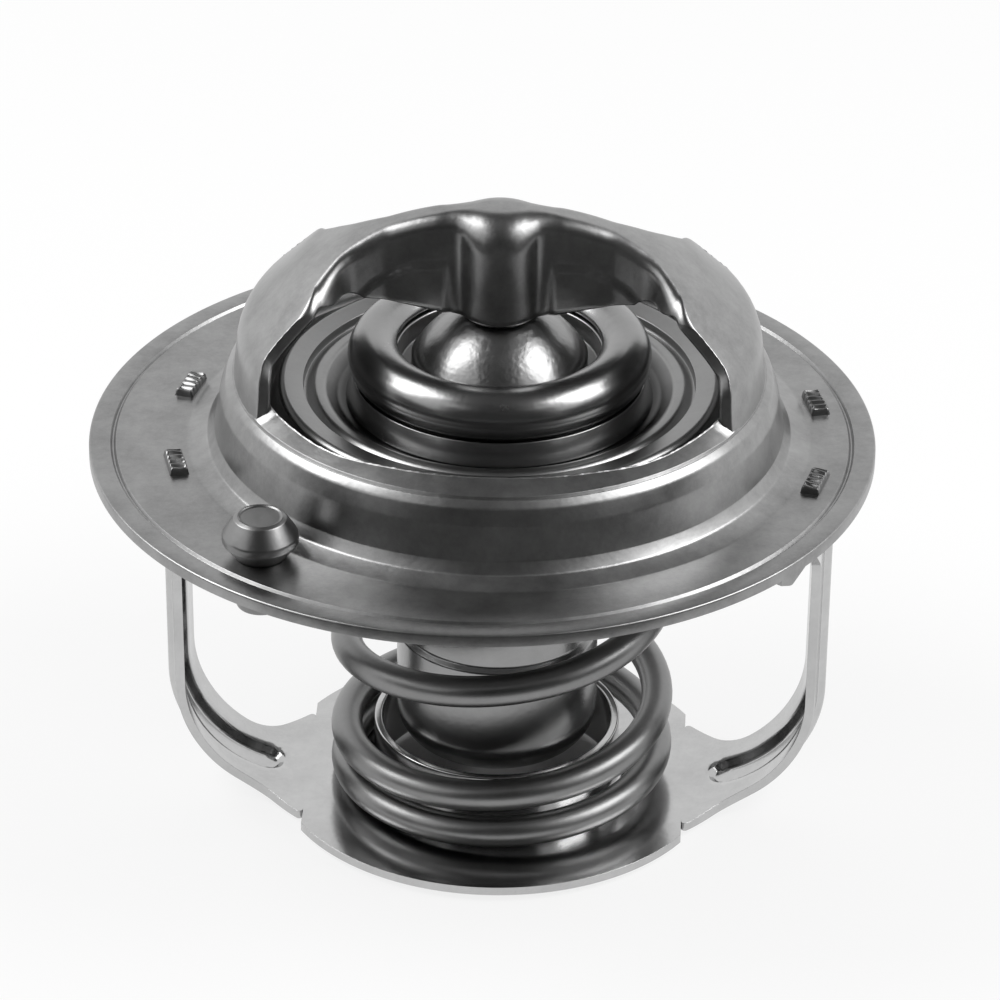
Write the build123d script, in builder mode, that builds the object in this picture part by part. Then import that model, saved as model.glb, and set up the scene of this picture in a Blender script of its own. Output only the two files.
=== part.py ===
"""Engine thermostat with a 52 mm flange: bridge body, wax element, valve, spring and stirrup.

Millimetres, +Z up. The origin is the centre of the flange rim on its underside.
The valve and everything round it stand on their own axis, a little to the +X side.
"""
from build123d import *
from math import acos, asin, atan2, cos, degrees, pi, radians, sin, sqrt
import os

os.makedirs("parts", exist_ok=True)

# Flange and its sheet
flange_radius = 26.0
sheet = 0.8
rim_edge_round = 0.14
valve_x = 1.1
groove_radius = 24.4
groove_width = 0.3
groove_depth = 0.14

# Hat of the upper body: radii from the valve axis, heights above the flange's underside
foot_radius = 20.4
foot_crest_radius = 19.3
foot_crest_height = 1.5
wall_foot_radius = 18.75
wall_foot_height = 2.15
wall_top_radius = 18.4
wall_top_height = 4.3
ridge_radius = 17.5
ridge_height = 5.9
crest_round = 0.6
shoulder_round = 1.5
window_reach = 15.7
window_height = 6.5
window_arc = 18.3
band_overlap = 1.2

# Bridge over the valve
bridge_top_height = 17.8
bridge_top_arc = 21.2
bridge_break_radius = 13.2
bridge_break_round = 8.0
bridge_corner_radius = 17.14
bridge_corner_height = 9.26
bridge_corner_round = 3.0
bridge_half_width = 1.4
bridge_flare_start = 9.0
bridge_flare_end = 12.3
bridge_flare_half_width = 3.7
bridge_end = 17.7
bridge_end_half_width = 5.95
bridge_plan_round = 5.0
bridge_edge_round = 0.9
boss_radius = 2.9
boss_blend = 0.9
web_bottom_height = 10.5
web_rise_reach = 7.0
web_rise_height = 11.4
web_step_reach = 9.5
web_step_height = 12.2
web_reach = 12.3
web_end_height = 12.3
pad_depth = 0.25
pad_inner_reach = 3.3
pad_reach = 9.2
pad_middle_reach = 7.1
pad_middle_height = 13.55
pad_height = 14.4

# Piston, whose upper end sits in the bridge's boss
piston_radius = 2.0
piston_top_gap = 0.12
boss_clearance = 0.08
guide_clearance = 0.05
piston_bottom = -13.8
piston_point_length = 2.2
piston_point_radius = 0.9

# Valve plate
plate_hub_height = 3.9
plate_hub_radius = 10.7
plate_step_radius = 11.8
plate_step_height = 4.75
plate_groove_radius = 12.95
plate_groove_width = 0.35
plate_groove_depth = 0.18
plate_ring_height = 5.22
plate_ring_radius = 14.45
plate_rim_height = 3.5
plate_round = 0.5
seat_gap = 0.1

# Wax cup and its crimped head
cup_sheet = 0.7
cup_radius = 6.75
cup_neck_radius = 6.45
cup_step_height = -13.7
cup_bottom = -22.2
cup_bottom_round = 2.6
shoulder_underside = 1.3
shoulder_radius = 8.85
bead_centre_radius = 8.2
bead_centre_height = 6.9
bead_radius = 1.8
bead_lip_degrees = 142
collar_foot_radius = 10.15
collar_top_radius = 9.55
collar_top_height = 5.75
press_gap = 0.02

# Guide, seal, boot and wax inside the cup
guide_flange_top = 7.3
guide_groove_outer_radius = 6.7
guide_groove_floor = 6.0
guide_cap_radius = 5.8
guide_cap_spring_height = 7.0
guide_cap_height = 9.96
guide_cap_flat_radius = 2.3
boot_flange_sheet = 0.8
boot_clearance = 0.1
boot_wall = 1.5
boot_room = 0.5
boot_floor = 1.3
washer_sheet = 0.4
washer_radius = 4.0
seal_radius = 3.3
seal_bottom = 7.2
seal_height = 1.4

# Stirrup under the flange
strip = 0.6
leg_inner_radius = 21.3
leg_lean = 0.3
bend_inner_radius = 7.9
leg_half_width = 3.35
leg_top_half_width = 6.6
leg_shoulder_height = -3.5
leg_shoulder_drop = 3.0
leg_trim_rise = 2.8
leg_turn = -2.5
arm_waist_inset = 5.3
arm_root_half_width = 6.3
arm_round = 4.0
disc_radius = 14.9
disc_top = -25.2
disc_cut = 12.35
hole_radius = 7.75
hole_collar_wall = 0.55
hole_collar_height = 4.4
hole_collar_blend = 0.9
rib_half_width = 1.5
rib_depth = 0.5
rib_end_radius = 14.3
rib_slot_length = 20.0
tab_spread = 14.3
tab_length = 2.3
slot_clearance = 0.05
tab_head_over = 0.3
tab_head_height = 0.35
tab_head_round = 0.12

# Main spring: heights of the wire's centre line at the end of every half turn
wire_radius = 1.05
spring_radius = 10.5
spring_shift = 0.35
spring_seat_gap = 0.02
spring_heights = (-23.6, -21.9, -20.75, -16.75, -12.6, -8.5, -4.4, -0.8, 1.1)
spring_points_per_turn = 12

# Vent pin in the flange
vent_foot_gap = 0.1683
vent_angle = 226.776
vent_hole_radius = 1.15
vent_shank_radius = 0.8
vent_head_base_radius = 1.6
vent_head_radius = 2.48
vent_head_top_radius = 1.63
vent_head_flare_height = 1.15
vent_head_waist_height = 1.6
vent_head_height = 2.9
vent_head_waist_round = 0.5
vent_head_edge_round = 0.15
vent_head_gap = 0.02
vent_travel = 1.2
vent_weight_radius = 1.6
vent_weight_height = 1.6
vent_weight_round = 0.2

# Locating lug under the flange rim
lug_angle = -39.5
lug_tail = 1.15
lug_tail_depth = 0.5
lug_ramp = 1.65
lug_length = 1.0
lug_depth = 0.98
lug_round = 0.2

valve_plane = Plane(origin=(valve_x, 0, 0), x_dir=(1, 0, 0), z_dir=(0, -1, 0))
valve_axis = Axis((valve_x, 0, 0), (0, 0, 1))
vent_distance = foot_radius + vent_foot_gap + vent_head_base_radius
vent_x = valve_x + vent_distance * cos(radians(vent_angle))
vent_y = vent_distance * sin(radians(vent_angle))


def level(height):
    """A horizontal plane centred on the valve axis."""
    return Plane(origin=(valve_x, 0, height))


def round_corner(sketch, point, radius):
    """Round the corner of a sketch that lies nearest to a point of its plane."""
    fillet(sketch.vertices().sort_by_distance(point)[0], radius=radius)


def save(node, name):
    """Label a finished piece and write its file."""
    node.part.label = name
    export_step(node.part, f"parts/{name}.step")
    print(name, node.part.is_valid, len(node.part.solids()), round(node.part.volume, 1))


# Plan of the bridge, used for its skin, its webs and the windows beside it
bridge_corners = [
    (bridge_flare_start, bridge_half_width),
    (bridge_flare_end, bridge_flare_half_width),
]
bridge_quarter = [
    (0, bridge_half_width),
    *bridge_corners,
    (bridge_end, bridge_end_half_width),
]
bridge_half = bridge_quarter + [(x, -y) for x, y in reversed(bridge_quarter)]

with BuildSketch(level(0)) as bridge_outline:
    with BuildLine():
        Polyline(*bridge_half, close=True)
    make_face()
    mirror(about=Plane.YZ)
    for corner_x, corner_y in bridge_corners:
        for side_x in (corner_x, -corner_x):
            for side_y in (corner_y, -corner_y):
                round_corner(bridge_outline, (side_x, side_y), bridge_plan_round)

# Hat: the stepped wall between the flange and the windows
band_slope = (window_height - ridge_height) / (ridge_radius - window_reach)
band_end_radius = window_reach - band_overlap
band_end_height = ridge_height + band_slope * (ridge_radius - band_end_radius)
wall_foot_inner = wall_foot_radius - sheet
wall_top_inner = wall_top_radius - sheet
wall_top_under = wall_top_height - sheet / 2
wall_foot_under = wall_foot_height - sheet / 2
crest_under = foot_crest_height - sheet

with BuildPart() as hat:
    with BuildSketch(valve_plane) as hat_section:
        with BuildLine():
            Polyline(
                (foot_radius, 0),
                (foot_radius, sheet),
                (foot_crest_radius, foot_crest_height),
                (wall_foot_radius, wall_foot_height),
                (wall_top_radius, wall_top_height),
                (ridge_radius, ridge_height),
                (band_end_radius, band_end_height),
                (band_end_radius, band_end_height - sheet),
                (ridge_radius - sheet, ridge_height - sheet),
                (wall_top_inner, wall_top_under),
                (wall_foot_inner, wall_foot_under),
                (foot_crest_radius - sheet, crest_under),
                (foot_crest_radius, 0),
                close=True,
            )
        make_face()
        round_corner(hat_section, (foot_crest_radius, foot_crest_height), crest_round)
        round_corner(hat_section, (wall_foot_radius, wall_foot_height), crest_round / 2)
        round_corner(hat_section, (wall_top_radius, wall_top_height), shoulder_round)
        round_corner(hat_section, (ridge_radius, ridge_height), crest_round / 3)
        round_corner(hat_section, (wall_top_inner, wall_top_under), shoulder_round / 2)
        round_corner(hat_section, (wall_foot_inner, wall_foot_under), crest_round)
        round_corner(hat_section, (foot_crest_radius - sheet, crest_under), crest_round / 3)
    revolve(axis=valve_axis)

# Dome that the bridge follows: its outer skin and the room inside it
arc_centre_height = bridge_top_height - bridge_top_arc
break_angle = asin(bridge_break_radius / bridge_top_arc)
inner_arc = bridge_top_arc - sheet
break_height = arc_centre_height + bridge_top_arc * cos(break_angle)
inner_break_radius = inner_arc * sin(break_angle)
inner_break_height = arc_centre_height + inner_arc * cos(break_angle)
inner_foot_radius = ridge_radius - sheet
dome_foot_height = ridge_height - sheet / 4
slope_angle = atan2(break_height - bridge_corner_height, bridge_corner_radius - bridge_break_radius)
skirt_angle = atan2(bridge_corner_height - dome_foot_height, ridge_radius - bridge_corner_radius)
corner_mitre = sheet / cos((skirt_angle - slope_angle) / 2)
inner_corner_radius = bridge_corner_radius - corner_mitre * sin((slope_angle + skirt_angle) / 2)
inner_corner_height = bridge_corner_height - corner_mitre * cos((slope_angle + skirt_angle) / 2)

with BuildPart() as dome:
    with BuildSketch(valve_plane) as dome_section:
        with BuildLine():
            CenterArc(
                (0, arc_centre_height), bridge_top_arc, 90 - degrees(break_angle), degrees(break_angle)
            )
            Polyline(
                (bridge_break_radius, break_height),
                (bridge_corner_radius, bridge_corner_height),
                (ridge_radius, dome_foot_height),
                (0, dome_foot_height),
                (0, bridge_top_height),
            )
        make_face()
        round_corner(
            dome_section, (bridge_corner_radius, bridge_corner_height), bridge_corner_round
        )
        round_corner(dome_section, (bridge_break_radius, break_height), bridge_break_round)
    revolve(axis=valve_axis)

with BuildPart() as dome_room:
    with BuildSketch(valve_plane) as room_section:
        with BuildLine():
            CenterArc((0, arc_centre_height), inner_arc, 90 - degrees(break_angle), degrees(break_angle))
            Polyline(
                (inner_break_radius, inner_break_height),
                (inner_corner_radius, inner_corner_height),
                (inner_foot_radius, dome_foot_height),
                (0, dome_foot_height),
                (0, bridge_top_height - sheet),
            )
        make_face()
        round_corner(
            room_section, (inner_corner_radius, inner_corner_height), bridge_corner_round - sheet
        )
        round_corner(
            room_section, (inner_break_radius, inner_break_height), bridge_break_round - sheet
        )
    revolve(axis=valve_axis)

# Hollow of the bridge: the room inside the dome, less the two webs and the boss round the piston
boss_meet = sqrt(boss_radius**2 - bridge_half_width**2)
boss_bore = piston_radius + boss_clearance
end_block_length = 2 * (ridge_radius - web_reach)
span = 4 * ridge_radius

with BuildPart() as bridge_hollow:
    with BuildSketch(level(dome_foot_height)):
        add(bridge_outline.sketch_local)
        offset(amount=-sheet, kind=Kind.INTERSECTION)
        Circle(boss_bore)
    extrude(amount=bridge_top_height)
    with BuildSketch(level(dome_foot_height)):
        with Locations((web_reach + end_block_length / 2, 0), (-web_reach - end_block_length / 2, 0)):
            Rectangle(end_block_length, span)
    extrude(amount=bridge_top_height)
    with BuildSketch(valve_plane):
        with BuildLine():
            Polyline(
                (0, 0),
                (web_reach + sheet, 0),
                (web_reach + sheet, web_end_height),
                (web_step_reach, web_step_height),
                (web_rise_reach, web_rise_height),
                (boss_radius, web_bottom_height),
                (0, web_bottom_height),
                close=True,
            )
        make_face()
        mirror(about=Plane.YZ)
    extrude(amount=ridge_radius, both=True)
    add(dome_room.part, mode=Mode.INTERSECT)

# Pressed crescents standing proud on the webs, beside the boss
with BuildPart() as pads:
    with BuildSketch(level(dome_foot_height)):
        add(bridge_outline.sketch_local)
        offset(amount=pad_depth, kind=Kind.INTERSECTION)
    extrude(amount=bridge_top_height)
    with BuildSketch(valve_plane):
        with BuildLine():
            ThreePointArc(
                (pad_inner_reach, pad_height),
                (pad_middle_reach, pad_middle_height),
                (pad_reach, web_step_height),
            )
            Polyline(
                (pad_reach, web_step_height),
                (pad_reach, ridge_height),
                (pad_inner_reach, ridge_height),
                (pad_inner_reach, pad_height),
            )
        make_face()
        mirror(about=Plane.YZ)
    extrude(amount=ridge_radius, both=True, mode=Mode.INTERSECT)

with BuildPart() as bridge:
    with BuildSketch(level(dome_foot_height)) as block_plan:
        add(bridge_outline.sketch_local)
        Circle(boss_radius)
        for meet_x in (boss_meet, -boss_meet):
            for meet_y in (bridge_half_width, -bridge_half_width):
                round_corner(block_plan, (meet_x, meet_y), boss_blend)
    extrude(amount=bridge_top_height)
    add(dome.part, mode=Mode.INTERSECT)
    skin_edges = bridge.edges().filter_by(GeomType.LINE, reverse=True)
    skin_edges = skin_edges.filter_by(lambda edge: abs((edge @ 0.5).Y) > bridge_half_width / 2)
    skin_edges = skin_edges.filter_by(lambda edge: (edge @ 0.5).Z > dome_foot_height + press_gap)
    fillet(skin_edges, radius=bridge_edge_round)
    add(pads.part)
    add(bridge_hollow.part, mode=Mode.SUBTRACT)

# Upper body: flange, hat and bridge in one stamping
band_cut_height = wall_foot_height
lens_shift = window_arc - window_reach
leg_radius = leg_inner_radius + strip / 2
lug_out = (cos(radians(lug_angle)), sin(radians(lug_angle)), 0)
lug_along = (-sin(radians(lug_angle)), cos(radians(lug_angle)), 0)
lug_face_radius = flange_radius - rim_edge_round
lug_plane = Plane(
    origin=(lug_face_radius * lug_out[0], lug_face_radius * lug_out[1], 0),
    x_dir=lug_along,
    z_dir=lug_out,
)
tab_angles = [
    leg_turn + side * tab_spread + half * 180 for side in (-1, 1) for half in (0, 1)
]

with BuildPart() as upper_body:
    with BuildSketch():
        Circle(flange_radius)
        with Locations((valve_x, 0)):
            Circle(foot_radius - sheet / 2, mode=Mode.SUBTRACT)
    extrude(amount=sheet)
    fillet(upper_body.faces().sort_by(Axis.Z)[-1].outer_wire().edges(), radius=rim_edge_round)
    add(hat.part)
    with BuildSketch(level(band_cut_height)):
        with Locations((0, lens_shift)):
            Circle(window_arc)
        with Locations((0, -lens_shift)):
            Circle(window_arc, mode=Mode.INTERSECT)
        add(bridge_outline.sketch_local, mode=Mode.SUBTRACT)
    extrude(amount=ridge_radius, mode=Mode.SUBTRACT)
    with BuildSketch(level(band_cut_height)):
        add(bridge_outline.sketch_local)
        Circle(inner_foot_radius, mode=Mode.INTERSECT)
    extrude(amount=ridge_radius, mode=Mode.SUBTRACT)
    add(bridge.part)
    with BuildSketch(level(0)):
        for angle in tab_angles:
            with PolarLocations(leg_radius, 1, start_angle=angle):
                Rectangle(strip + 2 * slot_clearance, tab_length + 2 * slot_clearance)
    extrude(amount=sheet, mode=Mode.SUBTRACT)
    with BuildSketch():
        with Locations((vent_x, vent_y)):
            Circle(vent_hole_radius)
    extrude(amount=sheet, mode=Mode.SUBTRACT)
    with BuildSketch(Plane.XZ):
        with Locations((groove_radius, sheet), (groove_radius, 0)):
            Rectangle(groove_width, 2 * groove_depth)
    revolve(axis=Axis.Z, mode=Mode.SUBTRACT)
    with BuildSketch(lug_plane) as lug_side:
        with BuildLine():
            Polyline(
                (-lug_tail, sheet / 2),
                (-lug_tail, -lug_tail_depth),
                (0, -lug_depth),
                (lug_ramp, 0),
                (lug_ramp, sheet / 2),
                close=True,
            )
        make_face()
        round_corner(lug_side, (0, -lug_depth), lug_round)
        round_corner(lug_side, (-lug_tail, -lug_tail_depth), lug_round)
    extrude(amount=-lug_length)
save(upper_body, "upper_body")

# Stirrup: a bowl of revolution cut down to a disc, two arms and two legs
turn = radians(leg_turn)
stirrup_x = (cos(turn), sin(turn), 0)
stirrup_y = (-sin(turn), cos(turn), 0)
stirrup_section = Plane(
    origin=(valve_x, 0, 0), x_dir=stirrup_x, z_dir=(sin(turn), -cos(turn), 0)
)
stirrup_side = Plane(origin=(valve_x, 0, 0), x_dir=stirrup_y, z_dir=stirrup_x)
disc_bottom = disc_top - strip
bend_corner_radius = leg_inner_radius - leg_lean
stirrup_depth = strip - disc_top
rib_start_radius = bend_corner_radius - bend_inner_radius - strip
rib_middle = rib_end_radius + rib_slot_length / 2
arm_waist_radius = leg_inner_radius - arm_waist_inset
arm_edge = [
    (disc_cut - strip, arm_root_half_width),
    (disc_cut, arm_root_half_width),
    (arm_waist_radius, leg_half_width),
    (leg_inner_radius - 2 * strip, leg_half_width),
    (leg_inner_radius - 2 * strip, leg_top_half_width),
    (leg_inner_radius + 2 * strip, leg_top_half_width),
]


def stirrup_level(height):
    """A horizontal plane turned with the stirrup."""
    return Plane(origin=(valve_x, 0, height), x_dir=stirrup_x, z_dir=(0, 0, 1))


# The rib pressed outwards along each leg and arm
with BuildPart() as rib:
    with BuildSketch(stirrup_section) as rib_section:
        with BuildLine():
            Polyline(
                (rib_start_radius, disc_bottom + strip / 2),
                (rib_start_radius, disc_bottom - rib_depth),
                (bend_corner_radius + strip + rib_depth, disc_bottom - rib_depth),
                (leg_inner_radius + strip + rib_depth, -strip),
                (leg_inner_radius + strip / 2, -strip),
                (bend_corner_radius + strip / 2, disc_bottom + strip / 2),
                close=True,
            )
        make_face()
        round_corner(
            rib_section,
            (bend_corner_radius + strip + rib_depth, disc_bottom - rib_depth),
            bend_inner_radius + strip + rib_depth,
        )
        round_corner(
            rib_section,
            (bend_corner_radius + strip / 2, disc_bottom + strip / 2),
            bend_inner_radius + strip / 2,
        )
    revolve(axis=valve_axis)
    with BuildSketch(stirrup_level(disc_bottom - strip)):
        with Locations((rib_middle, 0), (-rib_middle, 0)):
            SlotOverall(rib_slot_length, 2 * rib_half_width)
    extrude(amount=stirrup_depth + strip, mode=Mode.INTERSECT)

with BuildPart() as channel:
    with BuildSketch(stirrup_section) as channel_section:
        with BuildLine():
            Polyline(
                (rib_start_radius, disc_top + strip),
                (rib_start_radius, disc_top - rib_depth),
                (bend_corner_radius + rib_depth, disc_top - rib_depth),
                (leg_inner_radius + rib_depth, -2 * strip),
                (leg_inner_radius - strip, -2 * strip),
                (bend_corner_radius - strip, disc_top + strip),
                close=True,
            )
        make_face()
        round_corner(
            channel_section,
            (bend_corner_radius + rib_depth, disc_top - rib_depth),
            bend_inner_radius + rib_depth,
        )
        round_corner(
            channel_section,
            (bend_corner_radius - strip, disc_top + strip),
            bend_inner_radius - strip,
        )
    revolve(axis=valve_axis)
    with BuildSketch(stirrup_level(disc_bottom - strip)):
        with Locations((rib_middle, 0), (-rib_middle, 0)):
            SlotOverall(rib_slot_length - 2 * rib_depth, 2 * (rib_half_width - rib_depth))
    extrude(amount=stirrup_depth + strip, mode=Mode.INTERSECT)

with BuildPart() as lower_frame:
    with BuildSketch(stirrup_section) as bowl_section:
        with BuildLine():
            Polyline(
                (0, disc_top),
                (bend_corner_radius, disc_top),
                (leg_inner_radius, 0),
                (leg_inner_radius + strip, 0),
                (bend_corner_radius + strip, disc_bottom),
                (0, disc_bottom),
                close=True,
            )
        make_face()
        round_corner(bowl_section, (bend_corner_radius, disc_top), bend_inner_radius)
        round_corner(
            bowl_section, (bend_corner_radius + strip, disc_bottom), bend_inner_radius + strip
        )
    revolve(axis=valve_axis)
    with BuildSketch(stirrup_level(disc_bottom)) as stirrup_plan:
        with BuildLine():
            Polyline(*arm_edge, *[(x, -y) for x, y in reversed(arm_edge)], close=True)
        make_face()
        mirror(about=Plane.YZ)
        for side_x in (arm_waist_radius, -arm_waist_radius):
            for side_y in (leg_half_width, -leg_half_width):
                round_corner(stirrup_plan, (side_x, side_y), arm_round)
        with BuildSketch(mode=Mode.PRIVATE) as disc_plan:
            Circle(disc_radius)
            Rectangle(2 * disc_cut, 2 * disc_radius, mode=Mode.INTERSECT)
        add(disc_plan.sketch)
    extrude(amount=stirrup_depth, mode=Mode.INTERSECT)
    with BuildSketch(stirrup_side):
        with BuildLine():
            Polyline(
                (0, 0),
                (leg_top_half_width, 0),
                (leg_top_half_width, leg_shoulder_height),
                (leg_half_width, leg_shoulder_height - leg_shoulder_drop),
                (leg_half_width, disc_top + leg_trim_rise),
                (disc_radius, disc_top + leg_trim_rise),
                (disc_radius, disc_bottom),
                (0, disc_bottom),
                close=True,
            )
        make_face()
        mirror(about=Plane.YZ)
    extrude(amount=leg_inner_radius + 2 * strip, both=True, mode=Mode.INTERSECT)
    add(rib.part)
    add(channel.part, mode=Mode.SUBTRACT)
    with BuildSketch(stirrup_section):
        with BuildLine():
            Polyline(
                (0, disc_bottom),
                (hole_radius + hole_collar_wall, disc_bottom),
                (hole_radius + hole_collar_wall, disc_top + hole_collar_height),
                (0, disc_top + hole_collar_height),
                close=True,
            )
        make_face()
    revolve(axis=valve_axis)
    with BuildSketch(level(disc_bottom)):
        Circle(hole_radius)
    extrude(amount=stirrup_depth, mode=Mode.SUBTRACT)
    collar_circles = lower_frame.edges().filter_by(GeomType.CIRCLE)
    root_circle = collar_circles.filter_by(
        lambda edge: abs(edge.radius - hole_radius - hole_collar_wall) < press_gap
        and abs(edge.center().Z - disc_top) < press_gap
    )
    fillet(root_circle, radius=hole_collar_blend)
    mouth_circle = lower_frame.edges().filter_by(GeomType.CIRCLE).filter_by(
        lambda edge: abs(edge.radius - hole_radius) < press_gap
        and abs(edge.center().Z - disc_bottom) < press_gap
    )
    fillet(mouth_circle, radius=hole_collar_blend)
    with BuildSketch(level(0)):
        for angle in tab_angles:
            with PolarLocations(leg_radius, 1, start_angle=angle):
                Rectangle(strip, tab_length)
    extrude(amount=sheet + press_gap)
    with BuildSketch(level(sheet)):
        for angle in tab_angles:
            with PolarLocations(leg_radius, 1, start_angle=angle):
                Rectangle(strip + 2 * tab_head_over, tab_length + 2 * tab_head_over)
    extrude(amount=tab_head_height)
    head_tops = lower_frame.faces().filter_by_position(
        Axis.Z, sheet + tab_head_height / 2, sheet + 2 * tab_head_height
    ).filter_by(Axis.Z)
    fillet(head_tops.edges(), radius=tab_head_round)
save(lower_frame, "lower_frame")

# Piston, fixed in the boss under the bridge
piston_top = bridge_top_height - sheet - piston_top_gap

with BuildPart() as piston:
    with BuildSketch(valve_plane):
        with BuildLine():
            Polyline(
                (0, piston_bottom),
                (piston_point_radius, piston_bottom),
                (piston_radius, piston_bottom + piston_point_length),
                (piston_radius, piston_top),
                (0, piston_top),
                close=True,
            )
        make_face()
    revolve(axis=valve_axis)
save(piston, "piston")

# Wax cup with the rolled bead at its head
cup_inner_round = cup_bottom_round - cup_sheet
bead_inner_radius = bead_radius - cup_sheet
outer_join_degrees = -degrees(acos((shoulder_radius - bead_centre_radius) / bead_radius))
inner_join_x = shoulder_radius - cup_sheet - bead_centre_radius
inner_join_degrees = -degrees(acos(inner_join_x / bead_inner_radius))
outer_join_height = bead_centre_height + bead_radius * sin(radians(outer_join_degrees))
inner_join_height = bead_centre_height + bead_inner_radius * sin(radians(inner_join_degrees))
lip = radians(bead_lip_degrees)
lip_outer = (
    bead_centre_radius + bead_radius * cos(lip),
    bead_centre_height + bead_radius * sin(lip),
)
lip_inner = (
    bead_centre_radius + bead_inner_radius * cos(lip),
    bead_centre_height + bead_inner_radius * sin(lip),
)
shoulder_floor = shoulder_underside + cup_sheet

with BuildPart() as wax_cup:
    with BuildSketch(valve_plane) as cup_section:
        with BuildLine():
            Polyline(
                (0, cup_bottom),
                (cup_radius, cup_bottom),
                (cup_radius, cup_step_height),
                (cup_neck_radius, cup_step_height + cup_sheet / 2),
                (cup_neck_radius, shoulder_underside),
                (shoulder_radius, shoulder_underside),
                (shoulder_radius, outer_join_height),
            )
            CenterArc(
                (bead_centre_radius, bead_centre_height),
                bead_radius,
                outer_join_degrees,
                bead_lip_degrees - outer_join_degrees,
            )
            Line(lip_outer, lip_inner)
            CenterArc(
                (bead_centre_radius, bead_centre_height),
                bead_inner_radius,
                inner_join_degrees,
                bead_lip_degrees - inner_join_degrees,
            )
            Polyline(
                (shoulder_radius - cup_sheet, inner_join_height),
                (shoulder_radius - cup_sheet, shoulder_floor),
                (cup_neck_radius - cup_sheet, shoulder_floor),
                (cup_neck_radius - cup_sheet, cup_step_height),
                (cup_radius - cup_sheet, cup_step_height - cup_sheet / 2),
                (cup_radius - cup_sheet, cup_bottom + cup_sheet),
                (0, cup_bottom + cup_sheet),
                (0, cup_bottom),
            )
        make_face()
        round_corner(cup_section, (cup_radius, cup_bottom), cup_bottom_round)
        round_corner(
            cup_section, (cup_radius - cup_sheet, cup_bottom + cup_sheet), cup_inner_round
        )
        round_corner(cup_section, (shoulder_radius, shoulder_underside), cup_sheet)
        round_corner(cup_section, (cup_neck_radius, shoulder_underside), cup_sheet / 2)
    revolve(axis=valve_axis)
save(wax_cup, "wax_cup")

# Guide with its domed cap, held under the bead's lip
piston_bore = piston_radius + guide_clearance
guide_radius = shoulder_radius - cup_sheet - press_gap
boot_top = shoulder_floor + boot_flange_sheet
washer_top = boot_top + washer_sheet + press_gap
seal_top = seal_bottom + seal_height
cap_reach = guide_cap_radius**2 - guide_cap_flat_radius**2
cap_rise = guide_cap_height - guide_cap_spring_height
cap_centre_height = (
    guide_cap_height**2 - guide_cap_spring_height**2 - cap_reach
) / (2 * cap_rise)
cap_arc = sqrt(guide_cap_flat_radius**2 + (guide_cap_height - cap_centre_height) ** 2)
cap_middle = (guide_cap_radius + guide_cap_flat_radius) / 2
cap_middle_height = cap_centre_height + sqrt(cap_arc**2 - cap_middle**2)

with BuildPart() as element_guide:
    with BuildSketch(valve_plane) as guide_section:
        with BuildLine():
            ThreePointArc(
                (guide_cap_radius, guide_cap_spring_height),
                (cap_middle, cap_middle_height),
                (guide_cap_flat_radius, guide_cap_height),
            )
            Polyline(
                (guide_cap_flat_radius, guide_cap_height),
                (piston_bore, guide_cap_height),
                (piston_bore, seal_top),
                (seal_radius, seal_top),
                (seal_radius, seal_bottom),
                (piston_bore, seal_bottom),
                (piston_bore, washer_top),
                (washer_radius + press_gap, washer_top),
                (washer_radius + press_gap, boot_top + press_gap),
                (guide_radius, boot_top + press_gap),
                (guide_radius, guide_flange_top),
                (guide_groove_outer_radius, guide_flange_top),
                (guide_groove_outer_radius, guide_groove_floor),
                (guide_cap_radius, guide_groove_floor),
                (guide_cap_radius, guide_cap_spring_height),
            )
        make_face()
    revolve(axis=valve_axis)
save(element_guide, "element_guide")

with BuildPart() as guide_seal:
    with BuildSketch(valve_plane):
        with Locations(((piston_bore + seal_radius) / 2, seal_bottom + seal_height / 2)):
            RectangleRounded(
                seal_radius - piston_bore - press_gap, seal_height - press_gap, seal_height / 5
            )
    revolve(axis=valve_axis)
save(guide_seal, "guide_seal")

with BuildPart() as anti_extrusion_washer:
    with BuildSketch(level(boot_top + press_gap)):
        Circle(washer_radius)
        Circle(piston_bore, mode=Mode.SUBTRACT)
    extrude(amount=washer_sheet)
save(anti_extrusion_washer, "anti_extrusion_washer")

# Rubber boot round the piston, and the wax round the boot
boot_bore = piston_radius + boot_clearance
boot_radius = boot_bore + boot_wall
boot_room_bottom = piston_bottom - boot_room
boot_bottom = boot_room_bottom - boot_floor

with BuildPart() as rubber_boot:
    with BuildSketch(valve_plane) as boot_section:
        with BuildLine():
            Polyline(
                (0, boot_bottom),
                (boot_radius, boot_bottom),
                (boot_radius, shoulder_floor + press_gap),
                (guide_radius, shoulder_floor + press_gap),
                (guide_radius, boot_top),
                (boot_bore, boot_top),
                (boot_bore, boot_room_bottom),
                (0, boot_room_bottom),
                close=True,
            )
        make_face()
        round_corner(boot_section, (boot_radius, boot_bottom), boot_floor)
        round_corner(boot_section, (boot_bore, boot_room_bottom), boot_floor / 2)
    revolve(axis=valve_axis)
save(rubber_boot, "rubber_boot")

with BuildPart() as wax_charge:
    with BuildSketch(valve_plane) as wax_section:
        with BuildLine():
            Polyline(
                (0, cup_bottom + cup_sheet + press_gap),
                (cup_radius - cup_sheet - press_gap, cup_bottom + cup_sheet + press_gap),
                (cup_radius - cup_sheet - press_gap, cup_step_height - cup_sheet / 2),
                (cup_neck_radius - cup_sheet - press_gap, cup_step_height),
                (cup_neck_radius - cup_sheet - press_gap, shoulder_floor),
                (boot_radius + press_gap, shoulder_floor),
                (boot_radius + press_gap, boot_bottom - press_gap),
                (0, boot_bottom - press_gap),
                close=True,
            )
        make_face()
        round_corner(
            wax_section,
            (cup_radius - cup_sheet - press_gap, cup_bottom + cup_sheet + press_gap),
            cup_inner_round,
        )
    revolve(axis=valve_axis)
save(wax_charge, "wax_charge")

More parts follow.
